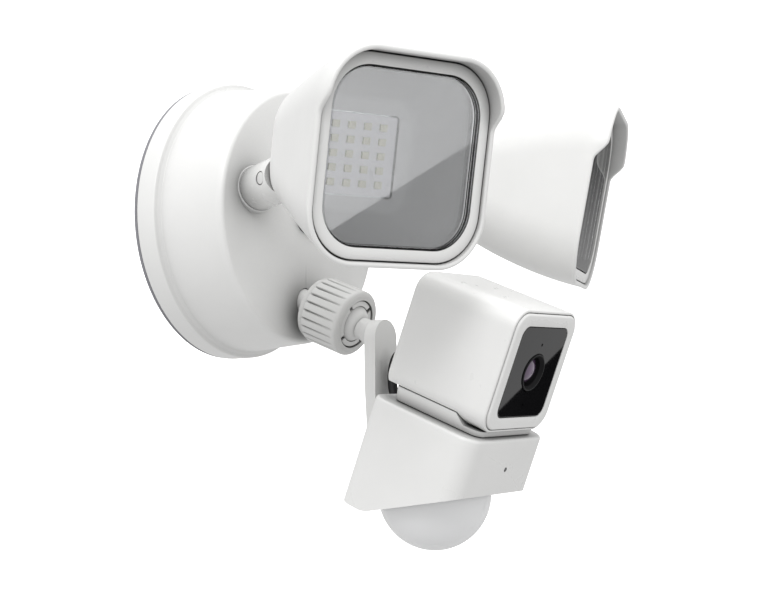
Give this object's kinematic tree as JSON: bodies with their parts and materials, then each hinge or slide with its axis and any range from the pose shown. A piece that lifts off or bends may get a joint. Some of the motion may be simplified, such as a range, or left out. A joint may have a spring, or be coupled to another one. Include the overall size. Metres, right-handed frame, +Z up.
{
  "type": "floodlight security camera",
  "caption": "wall-mounted floodlight with square tilting LED lamps on swivelling necks and a cube camera on a domed motion-sensor housing, aimed by a ball joint",
  "frame": {"origin": "the middle of the mounting bracket's back face, on the wall", "axes": "+Y points into the wall, -Y out of it, +Z is up, +X is to the right for someone who stands in front and faces the wall"},
  "size_m": [0.2348, 0.1702, 0.2034],
  "materials": {
    "gasket_foam": "matt dark foam",
    "steel": "plain zinc-plated steel",
    "rear_plate_grey": "matt moulded plastic",
    "white_shell": "white satin plastic with a fine spark texture",
    "white_camera": "white smooth satin plastic",
    "white_joint": "white satin moulded nylon",
    "nut_white": "slightly greyer white moulded nylon",
    "dome_white": "milky translucent polyethylene, smooth",
    "seal_rubber": "black rubber",
    "lamp_glass": "clear flat pane, polished",
    "reflector_grey": "satin grey-white reflector",
    "led_board_white": "white solder mask with pale yellow chips",
    "spreader_aluminium": "milled aluminium",
    "cap_white": "matt moulded plastic",
    "circuit_green": "green solder mask",
    "transformer_yellow": "taped winding on a ferrite core",
    "capacitor_sleeve": "black sleeve over an aluminium can",
    "terminal_green": "moulded plastic",
    "siren_black": "black moulded plastic",
    "light_pipe_clear": "clear moulded plastic",
    "face_black": "polished black front plate",
    "lens_black": "black anodised look, stepped inside",
    "camera_glass": "coated lens with a violet tint",
    "button_grey": "matt moulded plastic",
    "cable_black": "matt black cable sheath and plug boot"
  },
  "bodies": {
    "base": {"wall_gasket": "gasket_foam", "mounting_bracket": "steel", "rear_plate": "rear_plate_grey", "base_housing": "white_shell", "driver_board": "circuit_green", "transformer": "transformer_yellow", "capacitor": "capacitor_sleeve", "terminal_block": "terminal_green", "fixing_bolt": "steel", "bolt_cap": "white_shell", "ball_socket": "white_joint"},
    "left_neck": {"neck_left": "white_shell", "screw_cap_left": "cap_white"},
    "left_lamp": {"lamp_housing_left": "white_shell", "pivot_pin_left": "steel", "lamp_bezel_left": "white_shell", "lens_seal_left": "seal_rubber", "lamp_lens_left": "lamp_glass", "reflector_left": "reflector_grey", "led_board_left": "led_board_white", "heat_spreader_left": "spreader_aluminium"},
    "right_neck": {"neck_right": "white_shell", "screw_cap_right": "cap_white"},
    "right_lamp": {"lamp_housing_right": "white_shell", "pivot_pin_right": "steel", "lamp_bezel_right": "white_shell", "lens_seal_right": "seal_rubber", "lamp_lens_right": "lamp_glass", "reflector_right": "reflector_grey", "led_board_right": "led_board_white", "heat_spreader_right": "spreader_aluminium"},
    "nut": {"collar_nut": "nut_white"},
    "ball": {"joint_ball": "white_joint"},
    "stem": {"ball_stem": "white_joint"},
    "head": {"arm": "white_joint", "arm_screw_upper": "steel", "arm_screw_lower": "steel", "sensor_housing": "white_shell", "pir_dome": "dome_white", "pir_board": "circuit_green", "pyro_sensor_left": "steel", "pyro_sensor_right": "steel", "siren_speaker": "siren_black", "status_light_pipe": "light_pipe_clear", "camera_foot": "white_joint", "foot_screw": "steel", "foot_hinge_pin": "steel"},
    "camera": {"camera_shell": "white_camera", "front_bezel": "white_camera", "face_plate": "face_black", "lens_barrel": "lens_black", "lens_glass": "camera_glass", "sensor_board": "circuit_green", "main_board": "circuit_green", "camera_rear_cover": "white_camera", "usb_plug": "cable_black", "usb_lead": "cable_black"},
    "button": {"setup_button": "button_grey"}
  },
  "joints": [
    {"name": "lamp_swivel_left", "type": "hinge", "parent": "base", "child": "left_neck", "pos_m": [-0.03602, -0.04681, 0.00886], "axis": [-0.3448, -0.9322, 0.1097], "range_deg": [-30, 30]},
    {"name": "lamp_tilt_left", "type": "hinge", "parent": "left_neck", "child": "left_lamp", "pos_m": [-0.04671, -0.07571, 0.01226], "axis": [0.9379, -0.3469, 0], "range_deg": [-25, 10]},
    {"name": "lamp_swivel_right", "type": "hinge", "parent": "base", "child": "right_neck", "pos_m": [0.03602, -0.04681, 0.00886], "axis": [0.3448, -0.9322, 0.1097], "range_deg": [-30, 30]},
    {"name": "lamp_tilt_right", "type": "hinge", "parent": "right_neck", "child": "right_lamp", "pos_m": [0.04671, -0.07571, 0.01226], "axis": [0.9379, 0.3469, 0], "range_deg": [-25, 10]},
    {"name": "collar_nut_turn", "type": "hinge", "parent": "base", "child": "nut", "pos_m": [0, -0.0662, -0.0462], "axis": [0, -0.9367, -0.3502], "continuous": true},
    {"name": "ball_pan", "type": "hinge", "parent": "base", "child": "ball", "pos_m": [0, -0.0662, -0.0462], "axis": [0, 0, 1], "range_deg": [-15, 15]},
    {"name": "ball_tilt", "type": "hinge", "parent": "ball", "child": "stem", "pos_m": [0, -0.0662, -0.0462], "axis": [-1, 0, 0], "range_deg": [-15, 10]},
    {"name": "arm_roll", "type": "hinge", "parent": "stem", "child": "head", "pos_m": [0, -0.0662, -0.0462], "axis": [0, -0.907, -0.421], "range_deg": [-15, 15]},
    {"name": "camera_tilt", "type": "hinge", "parent": "head", "child": "camera", "pos_m": [0, -0.10674, -0.07647], "axis": [-1, 0, 0], "range_deg": [0, 8]},
    {"name": "setup_button_press", "type": "slide", "parent": "camera", "child": "button", "axis": [0, -0.9307, -0.3659], "range_m": [0, 0.0006], "stiffness_N_per_m": 800}
  ]
}
